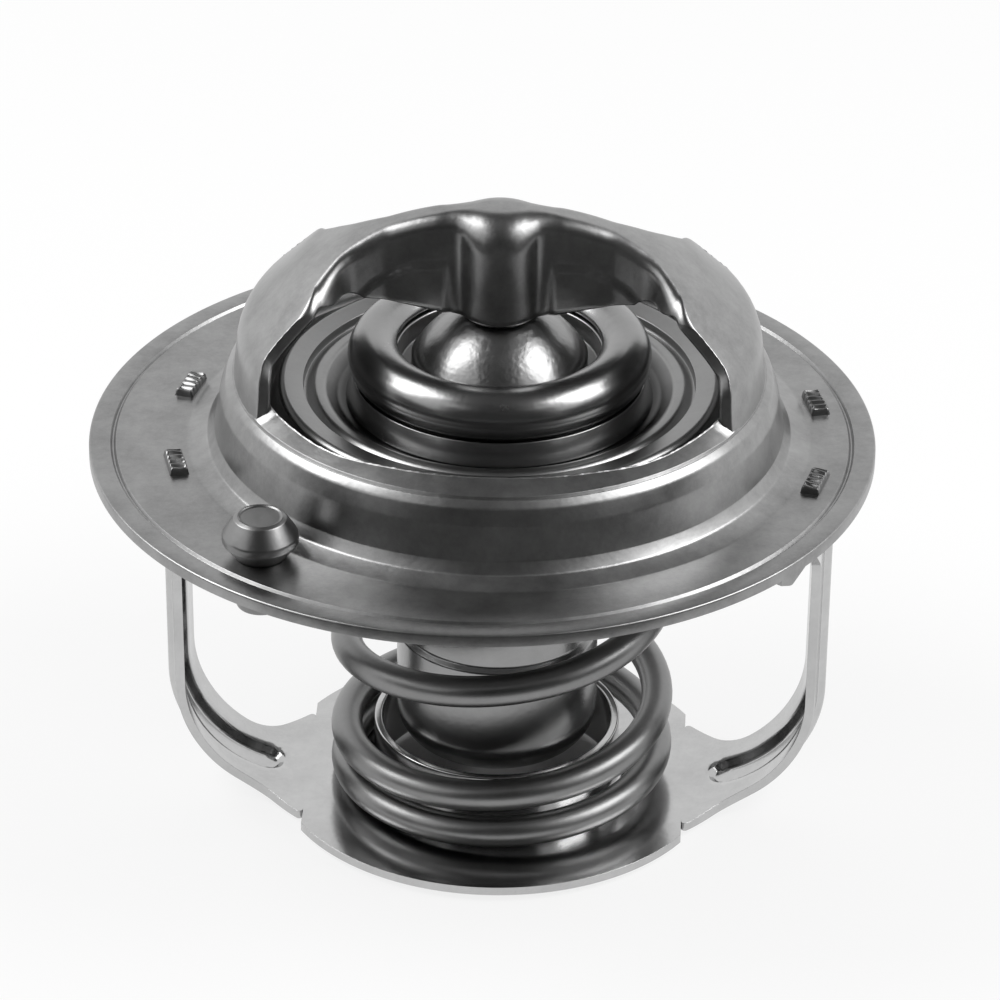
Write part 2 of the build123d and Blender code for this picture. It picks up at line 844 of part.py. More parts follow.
# Valve plate and the collar that holds it down the cup
plate_bore = shoulder_radius + press_gap
plate_rim_radius = wall_top_inner - seat_gap
ring_start_radius = plate_groove_radius - plate_groove_width / 2
ring_start_height = plate_step_height + sheet / 4

with BuildPart() as valve_plate:
    with BuildSketch(valve_plane) as plate_section:
        with BuildLine():
            Polyline(
                (plate_bore, plate_hub_height),
                (plate_hub_radius, plate_hub_height),
                (plate_step_radius, plate_step_height),
                (ring_start_radius, ring_start_height),
                (plate_ring_radius, plate_ring_height),
                (plate_rim_radius, plate_rim_height),
                (plate_rim_radius, plate_rim_height - sheet),
                (plate_ring_radius, plate_ring_height - sheet),
                (ring_start_radius, ring_start_height - sheet),
                (plate_step_radius, plate_step_height - sheet),
                (plate_hub_radius, plate_hub_height - sheet),
                (plate_bore, plate_hub_height - sheet),
                close=True,
            )
        make_face()
        for corner in (
            (plate_hub_radius, plate_hub_height),
            (plate_step_radius, plate_step_height),
            (plate_ring_radius, plate_ring_height),
            (plate_ring_radius, plate_ring_height - sheet),
            (plate_step_radius, plate_step_height - sheet),
            (plate_hub_radius, plate_hub_height - sheet),
        ):
            round_corner(plate_section, corner, plate_round)
        with Locations((plate_groove_radius, ring_start_height)):
            Rectangle(plate_groove_width, 2 * plate_groove_depth, mode=Mode.SUBTRACT)
    revolve(axis=valve_axis)
save(valve_plate, "valve_plate")

with BuildPart() as valve_collar:
    with BuildSketch(valve_plane) as collar_section:
        with BuildLine():
            Polyline(
                (plate_bore, plate_hub_height + press_gap),
                (collar_foot_radius, plate_hub_height + press_gap),
                (collar_top_radius, collar_top_height),
                (plate_bore, collar_top_height),
                close=True,
            )
        make_face()
        with Locations((bead_centre_radius, bead_centre_height)):
            Circle(bead_radius + press_gap, mode=Mode.SUBTRACT)
    revolve(axis=valve_axis)
save(valve_collar, "valve_collar")

# Vent pin: head above the flange, weight below it
vent_axis = Axis((vent_x, vent_y, 0), (0, 0, 1))
vent_plane = Plane(origin=(vent_x, vent_y, 0), x_dir=(1, 0, 0), z_dir=(0, -1, 0))
vent_base = sheet + vent_head_gap
weight_bottom = -vent_travel - vent_weight_height

with BuildPart() as jiggle_pin:
    with BuildSketch(vent_plane) as pin_section:
        with BuildLine():
            Polyline(
                (0, weight_bottom),
                (vent_shank_radius, weight_bottom),
                (vent_shank_radius, vent_base),
                (vent_head_base_radius, vent_base),
                (vent_head_radius, vent_base + vent_head_flare_height),
                (vent_head_radius, vent_base + vent_head_waist_height),
                (vent_head_top_radius, vent_base + vent_head_height),
                (0, vent_base + vent_head_height),
                close=True,
            )
        make_face()
        round_corner(
            pin_section,
            (vent_head_radius, vent_base + vent_head_waist_height),
            vent_head_waist_round,
        )
        round_corner(
            pin_section,
            (vent_head_top_radius, vent_base + vent_head_height),
            vent_head_edge_round,
        )
    revolve(axis=vent_axis)
save(jiggle_pin, "jiggle_pin")

with BuildPart() as jiggle_weight:
    with BuildSketch(Plane(origin=(vent_x, vent_y, weight_bottom))):
        Circle(vent_weight_radius)
        Circle(vent_shank_radius + press_gap, mode=Mode.SUBTRACT)
    extrude(amount=vent_weight_height)
    outer_edges = jiggle_weight.edges().filter_by(GeomType.CIRCLE).filter_by(
        lambda edge: abs(edge.radius - vent_weight_radius) < press_gap
    )
    fillet(outer_edges, radius=vent_weight_round)
save(jiggle_weight, "jiggle_weight")

with BuildPart() as main_spring:
    half_turn_heights = (
        disc_top + wire_radius + spring_seat_gap,
        *spring_heights,
        plate_hub_height - sheet - wire_radius - spring_seat_gap,
    )
    spring_points = []
    half_turns = len(half_turn_heights) - 1
    steps = spring_points_per_turn // 2
    for step in range(half_turns * steps + 1):
        station = min(step // steps, half_turns - 1)
        blend = step / steps - station
        below = half_turn_heights[station]
        above = half_turn_heights[station + 1]
        start_slope = (above - half_turn_heights[max(station - 1, 0)]) / 2
        end_slope = (half_turn_heights[min(station + 2, half_turns)] - below) / 2
        height = (
            below * (2 * blend**3 - 3 * blend**2 + 1)
            + above * (3 * blend**2 - 2 * blend**3)
            + start_slope * (blend**3 - 2 * blend**2 + blend)
            + end_slope * (blend**3 - blend**2)
        )
        angle = pi / 2 + pi * step / steps
        spring_points.append(
            (
                valve_x + spring_shift + spring_radius * cos(angle),
                spring_radius * sin(angle),
                height,
            )
        )
    with BuildLine() as wire_line:
        Spline(*spring_points)
    with BuildSketch(wire_line.line ^ 0):
        Circle(wire_radius)
    sweep(path=wire_line.line)
save(main_spring, "main_spring")
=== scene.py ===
"""Looks of a 52 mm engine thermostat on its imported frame. Lengths are in millimetres until MM."""
import math
import bpy
import numpy as np
from mathutils import Matrix, Vector
from mathutils.geometry import delaunay_2d_cdt


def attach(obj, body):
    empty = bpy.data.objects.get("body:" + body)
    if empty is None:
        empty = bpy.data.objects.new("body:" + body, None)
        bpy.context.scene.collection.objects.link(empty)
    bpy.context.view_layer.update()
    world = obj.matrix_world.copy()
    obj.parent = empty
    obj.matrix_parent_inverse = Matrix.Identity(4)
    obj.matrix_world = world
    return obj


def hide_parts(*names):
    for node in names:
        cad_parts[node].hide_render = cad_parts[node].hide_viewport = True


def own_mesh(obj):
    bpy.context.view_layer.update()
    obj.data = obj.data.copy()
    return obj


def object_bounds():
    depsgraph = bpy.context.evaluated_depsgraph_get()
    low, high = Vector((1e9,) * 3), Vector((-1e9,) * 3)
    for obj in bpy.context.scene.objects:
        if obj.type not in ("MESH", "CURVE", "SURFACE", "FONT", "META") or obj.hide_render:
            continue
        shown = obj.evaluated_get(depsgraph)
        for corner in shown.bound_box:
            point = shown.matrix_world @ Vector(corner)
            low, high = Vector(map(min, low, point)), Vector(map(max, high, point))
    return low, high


MM = 0.001
FLANGE_R = 26.0
SHEET = 0.8
# The valve's axis stands this far to the right of the rim's centre
VALVE_X = 1.1
# Stirrup: the disc's inner face, the strip's thickness and its turn about the valve's axis
DISC_TOP = -25.2
STRIP = 0.6
TURN = math.radians(-2.5)

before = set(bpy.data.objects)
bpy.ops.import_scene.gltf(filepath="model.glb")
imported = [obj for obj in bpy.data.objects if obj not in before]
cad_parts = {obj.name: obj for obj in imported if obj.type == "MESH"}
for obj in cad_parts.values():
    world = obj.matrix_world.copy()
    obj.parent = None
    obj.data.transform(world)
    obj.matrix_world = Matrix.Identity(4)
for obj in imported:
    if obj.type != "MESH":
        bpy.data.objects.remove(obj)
cad_low, cad_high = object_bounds()


def rounded(corners, steps=5):
    """Points of a closed outline of (x, y, round) corners, each corner turned into an arc."""
    points = []
    count = len(corners)
    for i, (x, y, radius) in enumerate(corners):
        here = np.array((x, y), float)
        if radius <= 0:
            points.append((x, y))
            continue
        before = np.array(corners[i - 1][:2], float) - here
        after = np.array(corners[(i + 1) % count][:2], float) - here
        long_b = np.linalg.norm(before)
        long_a = np.linalg.norm(after)
        u = before / long_b
        v = after / long_a
        half = math.acos(max(-0.9999, min(0.9999, float(u @ v)))) / 2
        reach = min(radius / math.tan(half), 0.49 * long_b, 0.49 * long_a)
        radius = reach * math.tan(half)
        middle = here + (u + v) / np.linalg.norm(u + v) * radius / math.sin(half)
        start = here + u * reach - middle
        end = here + v * reach - middle
        a0 = math.atan2(start[1], start[0])
        sweep = (math.atan2(end[1], end[0]) - a0 + math.pi) % (2 * math.pi) - math.pi
        for k in range(steps + 1):
            a = a0 + sweep * k / steps
            points.append((middle[0] + radius * math.cos(a), middle[1] + radius * math.sin(a)))
    return points


def ring_faces(rings, size, closed=True, around=True):
    """Quads between rings of vertices; around joins the last ring to the first."""
    faces = []
    last = rings if around else rings - 1
    for i in range(last):
        j = (i + 1) % rings
        for k in range(size if closed else size - 1):
            m = (k + 1) % size
            faces.append((i * size + k, j * size + k, j * size + m, i * size + m))
    return faces


def piece(name, points, faces, material, body, nodes=(), sharp=40):
    """A mesh object from points in millimetres, riding on a body."""
    mesh = bpy.data.meshes.new(name)
    mesh.from_pydata([tuple(c * MM for c in p) for p in points], [], faces)
    mesh.validate()
    mesh.update()
    mesh.shade_smooth()
    mesh.set_sharp_from_angle(angle=math.radians(sharp))
    obj = bpy.data.objects.new(name, mesh)
    bpy.context.scene.collection.objects.link(obj)
    mesh.materials.append(material)
    weigh = obj.modifiers.new("weigh", "WEIGHTED_NORMAL")
    weigh.keep_sharp = True
    weigh.weight = 50
    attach(obj, body)
    if nodes:
        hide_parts(*nodes)
    return obj


def turned(name, outline, material, body, nodes=(), centre=(VALVE_X, 0), steps=192, sharp=40):
    """A solid of revolution from a closed outline of (radius, height) points."""
    points = []
    for i in range(steps):
        a = 2 * math.pi * i / steps
        for r, z in outline:
            points.append((centre[0] + r * math.cos(a), centre[1] + r * math.sin(a), z))
    faces = ring_faces(steps, len(outline))
    return piece(name, points, faces, material, body, nodes, sharp)


def map_range(tree, source, span, levels, kind="LINEAR"):
    """Maps a value from one span to another and gives the result."""
    node = tree.nodes.new("ShaderNodeMapRange")
    node.interpolation_type = kind
    for name, value in zip(("From Min", "From Max", "To Min", "To Max"), (*span, *levels)):
        node.inputs[name].default_value = value
    tree.links.new(source, node.inputs["Value"])
    return node.outputs["Result"]


def combine(tree, operation, first, second):
    """One value out of two, by a Math node."""
    node = tree.nodes.new("ShaderNodeMath")
    node.operation = operation
    tree.links.new(first, node.inputs[0])
    tree.links.new(second, node.inputs[1])
    return node.outputs[0]


def noise(tree, place, scale, detail, roughness=0.5):
    """Noise at a place given by a vector socket."""
    node = tree.nodes.new("ShaderNodeTexNoise")
    node.inputs["Scale"].default_value = scale
    node.inputs["Detail"].default_value = detail
    node.inputs["Roughness"].default_value = roughness
    tree.links.new(place, node.inputs["Vector"])
    return node.outputs["Fac"]


def axis_radius(tree, place, x):
    """Distance from the upright axis that crosses the object's x axis at x millimetres."""
    apart = tree.nodes.new("ShaderNodeVectorMath")
    apart.operation = "SUBTRACT"
    apart.inputs[1].default_value = (x * MM, 0, 0)
    tree.links.new(place, apart.inputs[0])
    flat = tree.nodes.new("ShaderNodeVectorMath")
    flat.operation = "MULTIPLY"
    flat.inputs[1].default_value = (1, 1, 0)
    tree.links.new(apart.outputs[0], flat.inputs[0])
    radius = tree.nodes.new("ShaderNodeVectorMath")
    radius.operation = "LENGTH"
    tree.links.new(flat.outputs[0], radius.inputs[0])
    return radius.outputs["Value"]


# Where the noise has most of its values
NOISE_SPAN = (0.3, 0.7)


def metal(name, shade, rough, bump=0.1, blotch=0.12, painted_shade_radii=None):
    """A procedural steel: mottled tone, fine relief and, if given, painted shade that darkens it
    nearer the valve's axis, between two radii.
    """
    material = bpy.data.materials.new(name)
    material.use_nodes = True
    tree = material.node_tree
    shader = tree.nodes["Principled BSDF"]
    shader.inputs["Metallic"].default_value = 1.0
    place = tree.nodes.new("ShaderNodeTexCoord").outputs["Object"]
    cloud = noise(tree, place, scale=160, detail=9, roughness=0.78)
    grain = noise(tree, place, scale=2500, detail=1)

    tone = map_range(tree, cloud, NOISE_SPAN, (shade * (1 - blotch), shade * (1 + blotch)))
    # Painted shade: the tone is darkened towards the valve's axis, down to 0.12 inside the first
    # radius and back to full tone at the second
    if painted_shade_radii:
        span = (painted_shade_radii[0] * MM, painted_shade_radii[1] * MM)
        corner_shade_factor = map_range(tree, axis_radius(tree, place, VALVE_X), span, (0.12, 1.0), "SMOOTHSTEP")
        tone = combine(tree, "MULTIPLY", tone, corner_shade_factor)
    colour = tree.nodes.new("ShaderNodeCombineColor")
    for channel in ("Red", "Green", "Blue"):
        tree.links.new(tone, colour.inputs[channel])
    tree.links.new(colour.outputs["Color"], shader.inputs["Base Color"])

    gloss = map_range(tree, cloud, NOISE_SPAN, (rough * 0.92, rough * 1.08))
    tree.links.new(gloss, shader.inputs["Roughness"])

    relief = tree.nodes.new("ShaderNodeBump")
    relief.inputs["Strength"].default_value = bump
    relief.inputs["Distance"].default_value = 0.05 * MM
    tree.links.new(grain, relief.inputs["Height"])
    tree.links.new(relief.outputs["Normal"], shader.inputs["Normal"])
    return material


stamped = metal("stamped_steel", 0.3, 0.32, bump=0.15, blotch=0.3)
strip_steel = metal("strip_steel", 0.5, 0.16, bump=0.06)
# The plate's steel carries painted shade in its inner corner beside the collar, from 10.2 to 11.4 mm
# off the valve's axis
plate_steel = metal("plate_steel", 0.28, 0.3, painted_shade_radii=(10.2, 11.4))
cup_steel = metal("cup_steel", 0.3, 0.26, bump=0.12)
guide_steel = metal("guide_steel", 0.3, 0.3, bump=0.35)
piston_steel = metal("piston_steel", 0.5, 0.2)
wire_steel = metal("wire_steel", 0.25, 0.36)
pin_steel = metal("pin_steel", 0.24, 0.32)
hidden = metal("hidden_filling", 0.2, 0.6)

# Profile of the dome that the bridge follows: an arc to the break, a flank and a foot
CROWN_Z = 17.8
ARC = 21.2
BREAK_R = 13.2
FOOT_R = 17.5
BREAK = math.asin(BREAK_R / ARC)
ARC_CENTRE = CROWN_Z - ARC
crown = [
    (ARC * math.sin(BREAK * k / 40), ARC_CENTRE + ARC * math.cos(BREAK * k / 40))
    for k in range(33)
]
flank = rounded(
    [
        (crown[-1][0], crown[-1][1], 0),
        (BREAK_R, ARC_CENTRE + ARC * math.cos(BREAK), 6),
        (17.14, 9.26, 3.4),
        (FOOT_R, 5.7, 0),
    ],
    steps=12,
)
dome = np.array(crown + flank[1:])
step = np.hypot(np.diff(dome[:, 0]), np.diff(dome[:, 1]))
along = np.concatenate(([0], np.cumsum(step)))
even = np.linspace(0, along[-1], 110)
profile_r = np.interp(even, along, dome[:, 0])
profile_z = np.interp(even, along, dome[:, 1])
slope_r = np.gradient(profile_r)
slope_z = np.gradient(profile_z)
length = np.hypot(slope_r, slope_z)
inward_r = slope_z / length
inward_z = -slope_r / length


def smooth(value, low, high):
    """0 below low, 1 above high and an easy curve between."""
    t = min(1.0, max(0.0, (value - low) / (high - low)))
    return t * t * (3 - 2 * t)


# Half-width of the bridge's plan, with the wide shoulders at its ends
BRIDGE_TURN = math.radians(-2.2)
WEB_HALF = 1.4
WEB_ROOM_HALF = 0.6
BOSS_R = 2.9
BOSS_BORE_R = 2.08
BOSS_BLEND = 1.1
plan_x = (
    0, 7.4, 8.4, 9.6, 10.4, 11.0, 11.7, 12.3,
    12.65, 12.9, 13.9, 15.2, 16.3, 16.9, 17.2, FOOT_R,
)
plan_y = (
    WEB_HALF, WEB_HALF, 1.75, 2.25, 2.8, 3.4, 4.2, 4.9,
    5.5, 5.85, 6.1, 6.55, 7.1, 7.65, 8.1, 8.3,
)
plan_run = np.linspace(0, FOOT_R, 351)
plan_wide = np.interp(plan_run, plan_x, plan_y)
for _ in range(2):
    padded = np.pad(plan_wide, 5, mode="edge")
    plan_wide = np.convolve(padded, np.ones(11) / 11, mode="valid")


def half_width(x, boss, web):
    """Half-width of the bridge at x, with the round boss blended out of a web of half-width web."""
    width = float(np.interp(abs(x), plan_run, plan_wide)) - (WEB_HALF - web)
    foot = math.sqrt((boss + BOSS_BLEND) ** 2 - (web + BOSS_BLEND) ** 2)
    touch = foot * boss / (boss + BOSS_BLEND)
    if abs(x) < touch:
        return max(width, math.sqrt(boss * boss - x * x))
    if abs(x) < foot:
        hollow = math.sqrt(max(BOSS_BLEND**2 - (foot - abs(x)) ** 2, 0))
        return max(width, web + BOSS_BLEND - hollow)
    return width


def web_bottom(x):
    """Height of the web's lower edge."""
    runs = (2.9, 7.0, 8.9, 9.8, 10.7, 11.7, 12.5)
    heights = (10.5, 11.4, 11.9, 12.4, 12.55, 12.45, 12.6)
    return float(np.interp(abs(x), runs, heights))


def pad_height(x):
    """Top of the pressed crescent beside the boss."""
    runs = (3.2, 5.6, 7.1, 8.3, 9.3)
    heights = (14.42, 14.2, 13.55, 12.9, 12.0)
    return float(np.interp(abs(x), runs, heights))


def bridge_loop(k, sign):
    """Cross-section of the bridge at profile station k, on one side of the valve axis."""
    base = float(profile_r[k])
    x0 = sign * base
    width = half_width(x0, BOSS_R, WEB_HALF)
    inner = min(half_width(x0, BOSS_BORE_R, WEB_ROOM_HALF), width - 0.75)
    turn_in = smooth(base, 9.5, 13.0)
    drop = np.array((sign * inward_r[k] * turn_in, 0.0, -1 + turn_in * (1 + inward_z[k])))
    drop /= np.linalg.norm(drop)
    normal = np.array((sign * inward_r[k], 0.0, inward_z[k]))
    sheared = smooth(base, 11.9, 12.8)
    web = (float(profile_z[k]) - web_bottom(x0)) * (1 - sheared) + SHEET * sheared
    web = max(web, SHEET)
    edge = min(0.95 + 1.1 * (1 - smooth(base, 1.2, 4.2)), web - 0.25, width - 0.3)
    cut = smooth(base, 12.7, 13.7)
    edge = edge * (1 - cut) + 0.1 * cut
    burr = 0.07 * smooth(base, 13.2, 14.0) * (1 - smooth(base, 16.6, 17.0))
    burr *= 0.4 + 0.6 * abs(math.sin(5.1 * base + sign) * math.sin(13.7 * base))

    def at(y, depth, direction):
        """A point of the section: on the dome at y, then depth along direction."""
        x = x0 * math.sqrt(FOOT_R**2 - y * y) / FOOT_R
        r = min(math.hypot(x, y), FOOT_R)
        z = float(np.interp(r, profile_r, profile_z))
        return np.array((VALVE_X + x, y, z)) + depth * direction

    # From the middle of the skin to the rolled edge, down the web and back up its inner side
    half = []
    for i in range(7):
        half.append(at((width - edge) * i / 7, 0, normal))
    for i in range(11):
        a = math.pi / 2 * i / 10
        lift = burr if i in (6, 7, 8) else 0
        half.append(at(width - edge + edge * math.sin(a), edge * (1 - math.cos(a)) - lift, drop))
    for i in range(1, 19):
        depth = edge + (web - 0.2 - edge) * i / 18
        point = at(width, depth, drop)
        raise_by = 0.25 * smooth(pad_height(x0) - point[2], 0.0, 0.3)
        raise_by *= smooth(base, 3.2, 3.6) * (1 - smooth(base, 8.9, 9.6))
        point[1] += raise_by
        half.append(point)
    tail = half[-1][1] - width
    half.append(at(width, web - 0.08, drop) + np.array((0, tail - 0.06, 0)))
    half.append(at(width, web, drop) + np.array((0, tail - 0.2, 0)))
    half.append(at(inner, web, drop) + np.array((0, 0.1, 0)))
    half.append(at(inner, web - min(0.1, web - SHEET), drop))
    for i in range(1, 5):
        half.append(at(inner, web - (web - SHEET) * i / 4, drop))
    for i in range(1, 6):
        half.append(at(inner * (1 - i / 6), SHEET, normal))
    return half


loops = []
stations = [(k, -1) for k in range(len(profile_r) - 1, 0, -1)]
stations += [(k, 1) for k in range(len(profile_r))]
for k, sign in stations:
    one = bridge_loop(k, sign)
    other = [np.array((p[0], -p[1], p[2])) for p in reversed(one[1:])]
    loop = np.array(one + [one[-1] * np.array((1, 0, 1))] + other) - (VALVE_X, 0, 0)
    turned_x = loop[:, 0] * math.cos(BRIDGE_TURN) - loop[:, 1] * math.sin(BRIDGE_TURN) + VALVE_X
    turned_y = loop[:, 0] * math.sin(BRIDGE_TURN) + loop[:, 1] * math.cos(BRIDGE_TURN)
    loops.append(np.column_stack((turned_x, turned_y, loop[:, 2])))
size = len(loops[0])
bridge_points = [tuple(p) for loop in loops for p in loop]
bridge_faces = ring_faces(len(loops), size, around=False)
bridge_faces.append(tuple(range(size)))
bridge_faces.append(tuple(reversed(range((len(loops) - 1) * size, len(loops) * size))))
piece(
    "bridge", bridge_points, bridge_faces, stamped, "frame", ["upper_body"],
    sharp=50,
)


# Flange and hat: one stamping, whose band runs from the ridge line in to the windows' edge
RIDGE = np.array((FOOT_R, 5.9))


def window_edge(angle):
    """The window's edge (radius, height) at an angle round the valve's axis.

    The second result is how far the hat's wall swells there, over or under the bridge's skin.
    """
    turn = math.degrees(math.asin(abs(math.sin(angle - BRIDGE_TURN))))
    turns = (18, 23.5, 24.8, 26.2, 27.8, 30.5, 38.7, 46.7, 54, 66, 78, 90)
    radii = (16.9, 17.0, 17.05, 16.85, 16.5, 16.25, 16.2, 16.3, 16.3, 15.95, 15.8, 15.75)
    heights = (8.0, 8.3, 8.25, 7.7, 6.95, 6.5, 6.35, 6.3, 6.3, 6.4, 6.45, 6.47)
    swell = 0.1 * smooth(turn, 23, 28) * (1 - smooth(turn, 31, 40))
    swell -= 0.12 * (1 - smooth(turn, 19, 26))
    return np.array((np.interp(turn, turns, radii), np.interp(turn, turns, heights))), swell


hat_points = []
HAT_STEPS = 720
for i in range(HAT_STEPS):
    a = 2 * math.pi * i / HAT_STEPS
    edge, swell = window_edge(a)
    away = (edge - RIDGE) / np.linalg.norm(edge - RIDGE)
    below = np.array((-away[1], away[0]))
    under = edge + SHEET * below - 0.65 * away
    before = edge - min(0.15, 0.4 * np.linalg.norm(edge - RIDGE)) * away
    burr = edge - (0.04 + 0.06 * abs(math.sin(37 * a) * math.sin(91 * a + 1))) * below
    # The rim, the ring line, the foot, the wall and the ridge line, then the band's cut edge and
    # back along the underside
    corners = [
        (FLANGE_R, 0.0, 0),
        (FLANGE_R, SHEET, 0.14),
        (24.6, SHEET, 0.04),
        (24.46, 0.6, 0.03),
        (24.36, 0.6, 0.03),
        (24.22, SHEET, 0.04),
        (20.6, SHEET, 0.8),
        (19.3, 1.25, 0.35),
        (18.8, 2.0, 0.3),
        (18.4, 4.3, 1.5),
        (18.0, 5.35, 0.6),
        (17.58, 5.76, 0.05),
        (17.53, 5.76, 0.03),
        (17.42 + swell, 5.95, 0.05),
        (before[0], before[1], 0.02),
        (burr[0], burr[1], 0.03),
        (under[0], under[1], 0.05),
        (16.7, 5.1, 0.02),
        (17.6, 3.9, 0.5),
        (17.95, 1.75, 0.6),
        (18.5, 0.7, 0.3),
        (19.3, 0.0, 0.1),
        (24.25, 0.0, 0.03),
        (24.32, 0.13, 0.03),
        (24.48, 0.13, 0.03),
        (24.55, 0.0, 0.03),
    ]
    for r, z in rounded(corners, steps=3):
        shift = VALVE_X * (1 - smooth(r, 20.6, 24.0))
        hat_points.append((shift + r * math.cos(a), r * math.sin(a), z))
piece(
    "hat", hat_points, ring_faces(HAT_STEPS, len(hat_points) // HAT_STEPS), stamped, "frame",
    ["upper_body"], sharp=50,
)

# Locating lug under the rim, a ramp with a short tail
lug_angle = math.radians(-39.5)
LUG_MIDDLE = 0.15
LUG_ROOT_Z = 0.1
lug_side = rounded(
    [
        (-1.15, LUG_ROOT_Z, 0),
        (-1.15, -0.5, 0.25),
        (0, -0.98, 0.3),
        (1.65, 0, 0.4),
        (1.65, LUG_ROOT_Z, 0),
    ],
    steps=6,
)
lug_points = []
for r, inset in ((24.86, 0.9), (24.94, 1.0), (25.76, 1.0), (25.86, 0.93)):
    for t, z in lug_side:
        t = LUG_MIDDLE + (t - LUG_MIDDLE) * (0.5 + 0.5 * inset)
        z = LUG_ROOT_Z + (z - LUG_ROOT_Z) * inset
        lug_points.append(
            (
                r * math.cos(lug_angle) - t * math.sin(lug_angle),
                r * math.sin(lug_angle) + t * math.cos(lug_angle),
                z,
            )
        )
lug_faces = ring_faces(4, len(lug_side), around=False)
lug_faces.append(tuple(range(len(lug_side))))
lug_faces.append(tuple(reversed(range(3 * len(lug_side), 4 * len(lug_side)))))
piece("lug", lug_points, lug_faces, stamped, "frame", ["upper_body"])

# Stirrup, drawn flat in (run along the strip, width), then bent up at both sides of the valve
DISC_R = 14.9
BEND_R = 7.9
LEG_FOOT = 21.0
LEG_TOP = 21.3
TURN_UP = math.atan2(-DISC_TOP, LEG_TOP - LEG_FOOT)
BEND_START = LEG_FOOT - BEND_R * math.tan(TURN_UP / 2)
BEND_END = BEND_START + BEND_R * TURN_UP
LEG_LENGTH = math.hypot(DISC_TOP, LEG_TOP - LEG_FOOT)
FULL_RUN = BEND_END + LEG_LENGTH - (LEG_FOOT - BEND_START)


def strip_point(run, y, depth):
    """The place in space of a point of the flat stirrup, depth below its inner face."""
    side = 1 if run >= 0 else -1
    run = abs(run)
    bend = min(max(run - BEND_START, 0) / BEND_R, TURN_UP)
    rise = max(run - BEND_END, 0)
    r = min(run, BEND_START) + BEND_R * math.sin(bend) + rise * math.cos(TURN_UP)
    z = DISC_TOP + BEND_R * (1 - math.cos(bend)) + rise * math.sin(TURN_UP)
    r += math.sin(bend) * depth
    z -= math.cos(bend) * depth
    rolled = smooth(run, 13, 22)
    x = side * (r * (1 - rolled) + math.sqrt(max(r * r - y * y, 0)) * rolled)
    return (
        VALVE_X + x * math.cos(TURN) - y * math.sin(TURN),
        x * math.sin(TURN) + y * math.cos(TURN),
        z,
    )


RIB_START = 15.8
RIB_END = FULL_RUN - 2.4
# Half-widths of the rib, from its flat top out to its foot
RIB_LINES = (0.85, 1.05, 1.3, 1.5)


def rib_distance(run, y):
    """Distance of a point of the strip from the rib's middle line."""
    x = abs(run)
    return math.hypot(max(0.0, RIB_START - x, x - RIB_END), y)


def rib_push(run, y):
    """How far the stiffening rib is pressed outwards."""
    return 0.5 * (1 - smooth(rib_distance(run, y), RIB_LINES[0], RIB_LINES[-1]))


NOTCH_X = 12.75
TAB_HALF = 6.6
LEG_HALF = 3.35
outline_side = rounded(
    [
        (NOTCH_X, TAB_HALF, 0.25),
        (16.0, LEG_HALF, 4),
        (FULL_RUN - 6.5, LEG_HALF, 1.5),
        (FULL_RUN - 3.5, TAB_HALF, 0.8),
        (FULL_RUN, TAB_HALF, 0),
        (FULL_RUN, -1, 0),
        (NOTCH_X, -1, 0),
    ],
    steps=8,
)
# The outline: arm and leg of one side, the disc's front, the other side, and all of it mirrored
arm = [p for p in outline_side if p[1] > 0]
notch_angle = math.acos(NOTCH_X / DISC_R)
front_arc = []
for k in range(91):
    a = notch_angle + (math.pi - 2 * notch_angle) * k / 90
    front_arc.append((DISC_R * math.cos(a), DISC_R * math.sin(a)))
upper = list(reversed(arm)) + front_arc + [(-x, y) for x, y in arm]
outline = upper + [(x, -y) for x, y in reversed(upper)]
MESH_STEP = 0.45
dense = []
for i, (x, y) in enumerate(outline):
    next_x, next_y = outline[(i + 1) % len(outline)]
    gap = math.hypot(next_x - x, next_y - y)
    if gap < 1e-6:
        continue
    parts = max(1, int(gap / MESH_STEP))
    for k in range(parts):
        dense.append((x + (next_x - x) * k / parts, y + (next_y - y) * k / parts))
HOLE_EDGE = 9.25
hole = [
    (HOLE_EDGE * math.cos(2 * math.pi * k / 128), HOLE_EDGE * math.sin(2 * math.pi * k / 128))
    for k in range(128)
]


def inside(x, y, ring):
    """Whether a point lies inside a closed ring of points."""
    found = False
    j = len(ring) - 1
    for i in range(len(ring)):
        xi, yi = ring[i]
        xj, yj = ring[j]
        if (yi > y) != (yj > y) and x < (xj - xi) * (y - yi) / (yj - yi) + xi:
            found = not found
        j = i
    return found


verts = [Vector(p) for p in dense] + [Vector(p) for p in hole]
edges = [(i, (i + 1) % len(dense)) for i in range(len(dense))]
edges += [(len(dense) + i, len(dense) + (i + 1) % len(hole)) for i in range(len(hole))]
for side in (-1, 1):
    for far in RIB_LINES:
        bow = [(far * math.sin(math.pi * k / 12), far * math.cos(math.pi * k / 12)) for k in range(13)]
        ring = [(RIB_START - x, y) for x, y in bow]
        ring += [(RIB_START + (RIB_END - RIB_START) * k / 60, -far) for k in range(1, 60)]
        ring += [(RIB_END + x, -y) for x, y in bow]
        ring += [(RIB_END - (RIB_END - RIB_START) * k / 60, far) for k in range(1, 60)]
        first = len(verts)
        verts += [Vector((side * x, y)) for x, y in ring]
        edges += [(first + i, first + (i + 1) % len(ring)) for i in range(len(ring))]
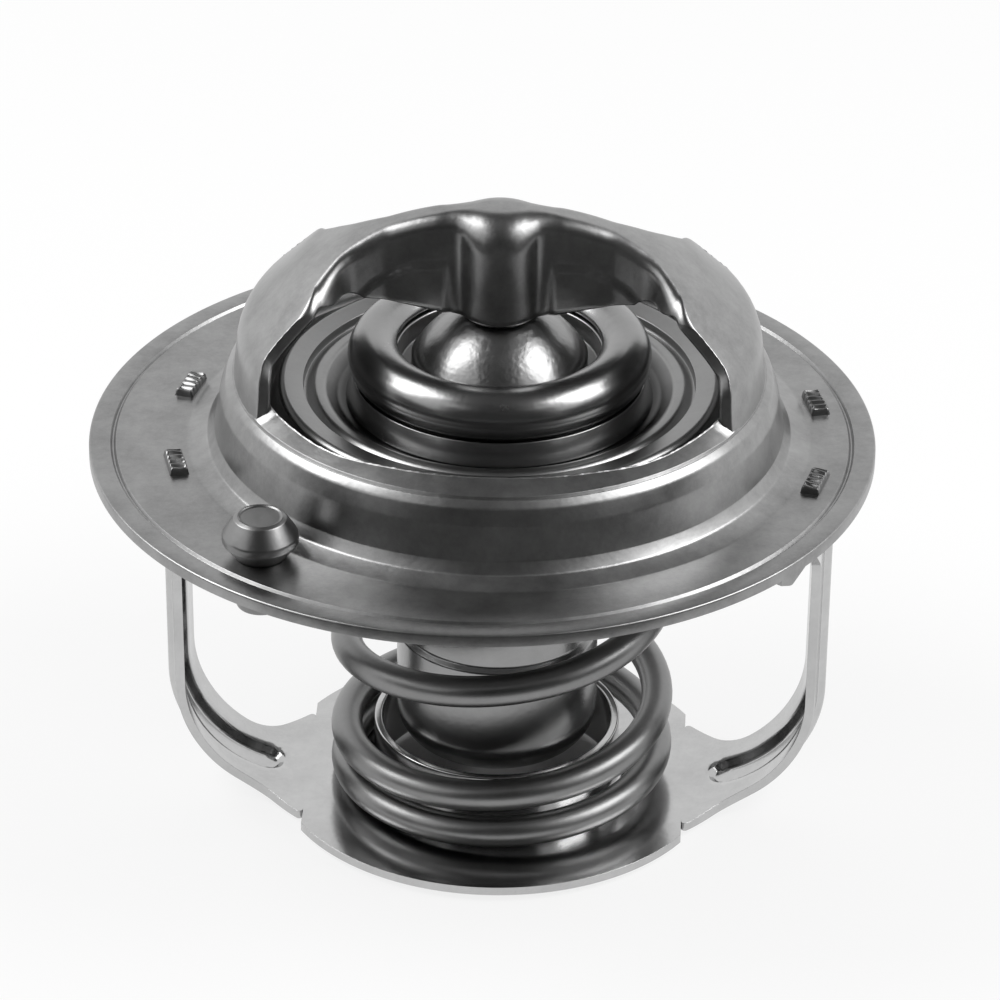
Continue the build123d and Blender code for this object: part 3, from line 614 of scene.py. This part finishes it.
# Inner points of the flat mesh, clear of the hole, the rib's slope and the outline
dense_array = np.array(dense)
for x in np.arange(-FULL_RUN, FULL_RUN, MESH_STEP):
    for y in np.arange(-14.6, 14.7, MESH_STEP):
        if abs(x) > 13.5 and abs(y) > TAB_HALF:
            continue
        if math.hypot(x, y) < HOLE_EDGE + 0.25:
            continue
        if 0.7 < rib_distance(x, y) < 1.65:
            continue
        if np.min(np.hypot(dense_array[:, 0] - x, dense_array[:, 1] - y)) < 0.22:
            continue
        if inside(x, y, dense):
            verts.append(Vector((x, y)))
flat_verts, _, all_faces, _, _, _ = delaunay_2d_cdt(verts, edges, [], 0, 1e-5)
flat_faces = []
for f in all_faces:
    x = sum(flat_verts[i][0] for i in f) / 3
    y = sum(flat_verts[i][1] for i in f) / 3
    if inside(x, y, dense) and math.hypot(x, y) > HOLE_EDGE * 0.999:
        flat_faces.append(f)
count = len(flat_verts)
top_points = []
under_points = []
for v in flat_verts:
    push = rib_push(v[0], v[1])
    top_points.append(strip_point(v[0], v[1], push))
    under_points.append(strip_point(v[0], v[1], push + STRIP))
directed = dict.fromkeys((f[i], f[(i + 1) % 3]) for f in flat_faces for i in range(3))
stirrup_faces = [tuple(f) for f in flat_faces]
stirrup_faces += [tuple(count + i for i in reversed(f)) for f in flat_faces]
for a, b in directed:
    if (b, a) not in directed:
        stirrup_faces.append((b, a, a + count, b + count))
stirrup = piece(
    "stirrup", top_points + under_points, stirrup_faces, strip_steel, "frame",
    ["lower_frame"], sharp=50,
)
soften = stirrup.modifiers.new("soften", "BEVEL")
soften.width = 0.12 * MM
soften.segments = 2
soften.limit_method = "ANGLE"
soften.angle_limit = math.radians(50)
bpy.context.view_layer.objects.active = stirrup
stirrup.modifiers.move(1, 0)

# Collar drawn up round the hole in the stirrup's disc
COLLAR_TOP = DISC_TOP + 4.4
turned(
    "hole_collar",
    rounded(
        [
            (HOLE_EDGE, DISC_TOP, 0),
            (8.3, DISC_TOP, 0.9),
            (8.3, COLLAR_TOP, 0.14),
            (7.75, COLLAR_TOP, 0.14),
            (7.75, DISC_TOP - STRIP, 0.9),
            (HOLE_EDGE, DISC_TOP - STRIP, 0),
        ],
        steps=8,
    ),
    strip_steel, "frame", ["lower_frame"],
)

# Upset heads of the stirrup's tabs, scored by the staking punch
HEAD_R = 21.6
HEAD_DEEP = 0.64
HEAD_WIDE = 1.45
TOOTH = 0.56
NU, NV = 16, 64
for number, angle in enumerate((-14.3, 14.3, 165.7, 194.3)):
    a = TURN + math.radians(angle)
    head = []
    for i in range(NU + 1):
        for j in range(NV + 1):
            u = -HEAD_DEEP + 2 * HEAD_DEEP * i / NU
            v = -HEAD_WIDE + 2 * HEAD_WIDE * j / NV
            rim = min(HEAD_DEEP - abs(u), HEAD_WIDE - abs(v))
            tooth = 0.5 + 0.5 * math.sin((v + 0.2 * u) * 2 * math.pi / TOOTH + number)
            uneven = 0.04 * math.sin(4 * u + 2 * v + number)
            z = 0.78 + (0.5 + uneven) * smooth(rim, -0.01, 0.12)
            z -= 0.13 * tooth * smooth(rim, 0.02, 0.25)
            r = HEAD_R + u
            x = VALVE_X + r * math.cos(a) - v * math.sin(a)
            head.append((x, r * math.sin(a) + v * math.cos(a), z))
    piece(
        f"tab_head_{number}", head, ring_faces(NU + 1, NV + 1, closed=False, around=False),
        pin_steel, "frame", ["lower_frame"], sharp=60,
    )

# Piston, pointed below and flat in the boss
turned(
    "piston_rod",
    rounded(
        [
            (0.001, -13.8, 0),
            (0.9, -13.8, 0.1),
            (2.0, -11.6, 0.3),
            (2.0, 16.88, 0.15),
            (0.001, 16.88, 0),
        ]
    ),
    piston_steel, "frame", ["piston"], steps=64,
)

# Wax cup with its rolled bead: the bead's centre, its outer and inner radius and its rounded lip
BEAD = (8.2, 6.9)
BEAD_OUT = 1.8
BEAD_IN = 1.1
LIP_ANGLE = 142
LIP_MIDDLE = 1.45
LIP_ROUND = 0.35


def bead_arc(radius, start, end, steps):
    """Points of an arc round the bead's centre, in degrees."""
    points = []
    for k in range(steps + 1):
        a = math.radians(start + (end - start) * k / steps)
        points.append((BEAD[0] + radius * math.cos(a), BEAD[1] + radius * math.sin(a)))
    return points


lower_cup = rounded(
    [
        (0.001, -22.2, 0),
        (6.75, -22.2, 2.6),
        (6.75, -13.7, 0.3),
        (6.45, -13.35, 0.3),
        (6.45, 1.3, 0.35),
        (8.85, 1.3, 0.7),
        (8.85, 5.22, 0.2),
        (9.4, 5.6, 0),
    ],
    steps=8,
)[:-1]
inner_cup = rounded(
    [
        (9.0, 5.8, 0),
        (8.15, 5.8, 0),
        (8.15, 2.0, 0.2),
        (5.75, 2.0, 0.2),
        (5.75, -13.7, 0.1),
        (6.05, -14.05, 0.1),
        (6.05, -21.5, 1.9),
        (0.001, -21.5, 0),
    ],
    steps=6,
)[1:]
lip_end = []
for k in range(1, 8):
    a = math.radians(LIP_ANGLE)
    b = a + math.pi * k / 8
    lip_end.append(
        (
            BEAD[0] + LIP_MIDDLE * math.cos(a) + LIP_ROUND * math.cos(b),
            BEAD[1] + LIP_MIDDLE * math.sin(a) + LIP_ROUND * math.sin(b),
        )
    )
cup_outline = lower_cup + bead_arc(BEAD_OUT, -66, LIP_ANGLE, 64) + lip_end
cup_outline += bead_arc(BEAD_IN, LIP_ANGLE, -92, 24) + inner_cup
turned("cup_shell", cup_outline, cup_steel, "valve", ["wax_cup"], sharp=35)

# Guide with its domed cap
CAP_C = 3.695
CAP_R = 6.675
cap = [
    (CAP_R * math.sin(a), CAP_C + CAP_R * math.cos(a))
    for a in np.linspace(math.asin(5.8 / CAP_R), math.asin(2.3 / CAP_R), 20)
]
guide_outline = cap + rounded(
    [
        (2.12, 9.98, 0.03),
        (2.05, 9.9, 0),
        (2.05, 2.85, 0),
        (8.1, 2.85, 0),
        (8.1, 7.3, 0.1),
        (6.7, 7.3, 0.12),
        (6.6, 6.0, 0.15),
        (5.85, 6.0, 0.15),
    ],
    steps=4,
)
turned("guide_cap", guide_outline, guide_steel, "valve", ["element_guide"], sharp=35)

# Valve plate and collar
plate_outline = rounded(
    [
        (8.87, 3.9, 0.05),
        (10.6, 3.9, 0.5),
        (11.5, 4.72, 0.5),
        (12.2, 4.72, 0.5),
        (12.7, 4.3, 0.2),
        (12.9, 4.3, 0.06),
        (12.93, 4.93, 0.05),
        (14.5, 5.2, 0.45),
        (15.1, 3.4, 0.6),
        (17.5, 3.0, 0.15),
        (17.5, 2.4, 0.15),
        (14.9, 2.8, 0.5),
        (14.2, 4.3, 0.4),
        (12.6, 3.6, 0.3),
        (11.8, 3.9, 0.4),
        (10.7, 3.1, 0.4),
        (8.87, 3.1, 0.05),
    ],
    steps=6,
)
turned("valve_disc", plate_outline, plate_steel, "valve", ["valve_plate"], sharp=40)
collar_outline = rounded(
    [
        (8.87, 3.92, 0),
        (10.15, 3.92, 0.06),
        (9.62, 5.5, 0.08),
        (9.48, 5.46, 0.02),
        (8.87, 4.9, 0),
    ],
    steps=4,
)
turned("valve_ring", collar_outline, cup_steel, "valve", ["valve_collar"], sharp=40)

# Main spring: its wire's height at each half turn, from the disc up to the plate
COIL_X = VALVE_X + 0.35
COIL_R = 10.5
WIRE_R = 1.05
PER_HALF = 40
heights = (-24.13, -23.6, -21.9, -20.75, -16.75, -12.6, -8.5, -4.4, -0.8, 1.1, 2.03)
last = len(heights) - 1
rings = last * PER_HALF
sides = 28
centre_line = []
for i in range(rings + 1):
    t = i / PER_HALF
    k = min(int(t), last - 1)
    f = t - k
    below, above = heights[k], heights[k + 1]
    s0 = (above - heights[max(k - 1, 0)]) / 2
    s1 = (heights[min(k + 2, last)] - below) / 2
    z = (
        below * (2 * f**3 - 3 * f**2 + 1)
        + above * (3 * f**2 - 2 * f**3)
        + s0 * (f**3 - 2 * f**2 + f)
        + s1 * (f**3 - f**2)
    )
    a = math.pi / 2 + math.pi * t
    centre_line.append(np.array((COIL_X + COIL_R * math.cos(a), COIL_R * math.sin(a), z)))
spring_points = []
for i, p in enumerate(centre_line):
    ahead = centre_line[min(i + 1, rings)] - centre_line[max(i - 1, 0)]
    ahead /= np.linalg.norm(ahead)
    out = p - np.array((COIL_X, 0, p[2]))
    out /= np.linalg.norm(out)
    up = np.cross(ahead, out)
    up /= np.linalg.norm(up)
    out = np.cross(up, ahead)
    for s in range(sides):
        b = 2 * math.pi * s / sides
        spring_points.append(tuple(p + WIRE_R * (math.cos(b) * out + math.sin(b) * up)))
spring_faces = ring_faces(rings + 1, sides, around=False)
spring_faces.append(tuple(range(sides)))
spring_faces.append(tuple(reversed(range(rings * sides, (rings + 1) * sides))))
coil = piece(
    "coil", spring_points, spring_faces, wire_steel, "frame", ["main_spring"],
)
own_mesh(coil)

# Vent pin and its weight
vent = (-14.08, -16.15)
turned(
    "vent_head",
    rounded(
        [
            (0.001, -2.8, 0),
            (0.8, -2.8, 0.05),
            (0.8, 0.82, 0.05),
            (1.6, 0.82, 0.12),
            (2.48, 1.97, 0.3),
            (2.48, 2.42, 0.4),
            (1.72, 3.6, 0.16),
            (1.45, 3.72, 0.06),
            (1.3, 3.62, 0.3),
            (0.001, 3.58, 0),
        ],
        steps=6,
    ),
    pin_steel, "vent", ["jiggle_pin"], centre=vent, steps=96,
)
turned(
    "vent_weight",
    rounded([(0.82, -2.8, 0), (1.6, -2.8, 0.2), (1.6, -1.2, 0.2), (0.82, -1.2, 0)], steps=5),
    pin_steel, "vent", ["jiggle_weight"], centre=vent, steps=64,
)

# What the element hides keeps its CAD solids
for node in ("guide_seal", "rubber_boot", "anti_extrusion_washer", "wax_charge"):
    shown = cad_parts[node]
    shown.data.materials.clear()
    shown.data.materials.append(hidden)


def seen_directly(tree):
    """1 for what the camera, a reflection or glass sees and 0 for what lights the object."""
    path_info = tree.nodes.new("ShaderNodeLightPath")
    seen = path_info.outputs["Is Camera Ray"]
    for ray in ("Is Glossy Ray", "Is Transmission Ray"):
        seen = combine(tree, "MAXIMUM", seen, path_info.outputs[ray])
    return seen


# Floor: matt and pale. It glows so that it meets the white behind it, but not under the hole
# of the stirrup, where the photograph is dark.
floor_material = bpy.data.materials.new("floor")
floor_material.use_nodes = True
tree = floor_material.node_tree
floor_shader = tree.nodes["Principled BSDF"]
floor_shader.inputs["Base Color"].default_value = (0.9, 0.9, 0.9, 1)
floor_shader.inputs["Roughness"].default_value = 0.9
glow = tree.nodes.new("ShaderNodeEmission")
share = map_range(tree, seen_directly(tree), (0, 1), (0, 0.8))
floor_place = tree.nodes.new("ShaderNodeTexCoord").outputs["Object"]
outside = map_range(tree, axis_radius(tree, floor_place, 0), (8 * MM, 14 * MM), (0, 1))
both = tree.nodes.new("ShaderNodeMixShader")
tree.links.new(combine(tree, "MULTIPLY", share, outside), both.inputs[0])
tree.links.new(floor_shader.outputs[0], both.inputs[1])
tree.links.new(glow.outputs[0], both.inputs[2])
tree.links.new(both.outputs[0], tree.nodes["Material Output"].inputs["Surface"])
floor_z = cad_low[2] - 0.02 * MM
bpy.ops.mesh.primitive_plane_add(size=3, location=(VALVE_X * MM, 0, floor_z))
floor = bpy.context.object
floor.name = "floor"
floor.data.materials.append(floor_material)

# World: white where it is seen, soft grey as light
world = bpy.data.worlds.new("studio")
bpy.context.scene.world = world
world.use_nodes = True
tree = world.node_tree
back = tree.nodes["Background"]
back.inputs["Color"].default_value = (1, 1, 1, 1)
level = map_range(tree, seen_directly(tree), (0, 1), (0.4, 1.0))
tree.links.new(level, back.inputs["Strength"])


def softbox(name, azimuth, elevation):
    """A square lamp facing the object, its azimuth in degrees from the back, turning right."""
    az = math.radians(azimuth)
    el = math.radians(elevation)
    aim = Vector((math.sin(az) * math.cos(el), math.cos(az) * math.cos(el), math.sin(el)))
    lamp = bpy.data.lights.new(name, "AREA")
    lamp.size = 200 * MM
    lamp.energy = 0.62
    obj = bpy.data.objects.new(name, lamp)
    bpy.context.scene.collection.objects.link(obj)
    obj.location = aim * 320 * MM
    obj.rotation_euler = (-aim).to_track_quat("-Z", "Y").to_euler()


softbox("key_left", -82, 48)
softbox("key_right", 98, 45)

# Dark cards that the polished parts mirror, as they do the dark studio of the photograph
card_material = bpy.data.materials.new("dark_card")
card_material.use_nodes = True
card_shader = card_material.node_tree.nodes["Principled BSDF"]
card_shader.inputs["Base Color"].default_value = (0.06, 0.06, 0.06, 1)
card_shader.inputs["Roughness"].default_value = 0.9
for name, corners in {
    "card_above": [(-230, -450, 420), (230, -450, 420), (230, 440, 420), (-230, 440, 420)],
    "card_front": [(-420, -450, -20), (420, -450, -20), (420, -450, 420), (-420, -450, 420)],
    "card_low": [(-450, -450, -26), (450, -450, -26), (450, -64, -26), (-450, -64, -26)],
    "card_left": [(-450, -450, -20), (-450, -60, -20), (-450, -60, 150), (-450, -450, 150)],
    "card_right": [(450, -450, -20), (450, -60, -20), (450, -60, 150), (450, -450, 150)],
}.items():
    mesh = bpy.data.meshes.new(name)
    mesh.from_pydata([tuple(c * MM for c in p) for p in corners], [], [(0, 1, 2, 3)])
    mesh.materials.append(card_material)
    card = bpy.data.objects.new(name, mesh)
    bpy.context.scene.collection.objects.link(card)
    card.visible_camera = False
    card.visible_diffuse = False
    card.visible_shadow = False

# Camera, as solved from the photograph
ELEV = math.radians(29.1)
ROLL = math.radians(0.5)
DISTANCE = 420.0
PX_PER_MM = 15.109
FRAME_PX = 1000
SENSOR = 36
camera_data = bpy.data.cameras.new("camera")
camera_data.sensor_width = SENSOR
camera_data.lens = PX_PER_MM * DISTANCE / FRAME_PX * SENSOR
camera_data.shift_x = 0.001
camera_data.shift_y = -0.0654
camera_data.clip_start = 0.01
camera_data.clip_end = 10
camera = bpy.data.objects.new("camera", camera_data)
bpy.context.scene.collection.objects.link(camera)
eye = Vector((VALVE_X, -DISTANCE * math.cos(ELEV), SHEET + DISTANCE * math.sin(ELEV))) * MM
tilt = Matrix.Rotation(math.pi / 2 - ELEV, 4, "X")
camera.matrix_world = Matrix.Translation(eye) @ tilt @ Matrix.Rotation(ROLL, 4, "Z")
bpy.context.scene.camera = camera

bpy.context.scene.view_settings.view_transform = "Standard"
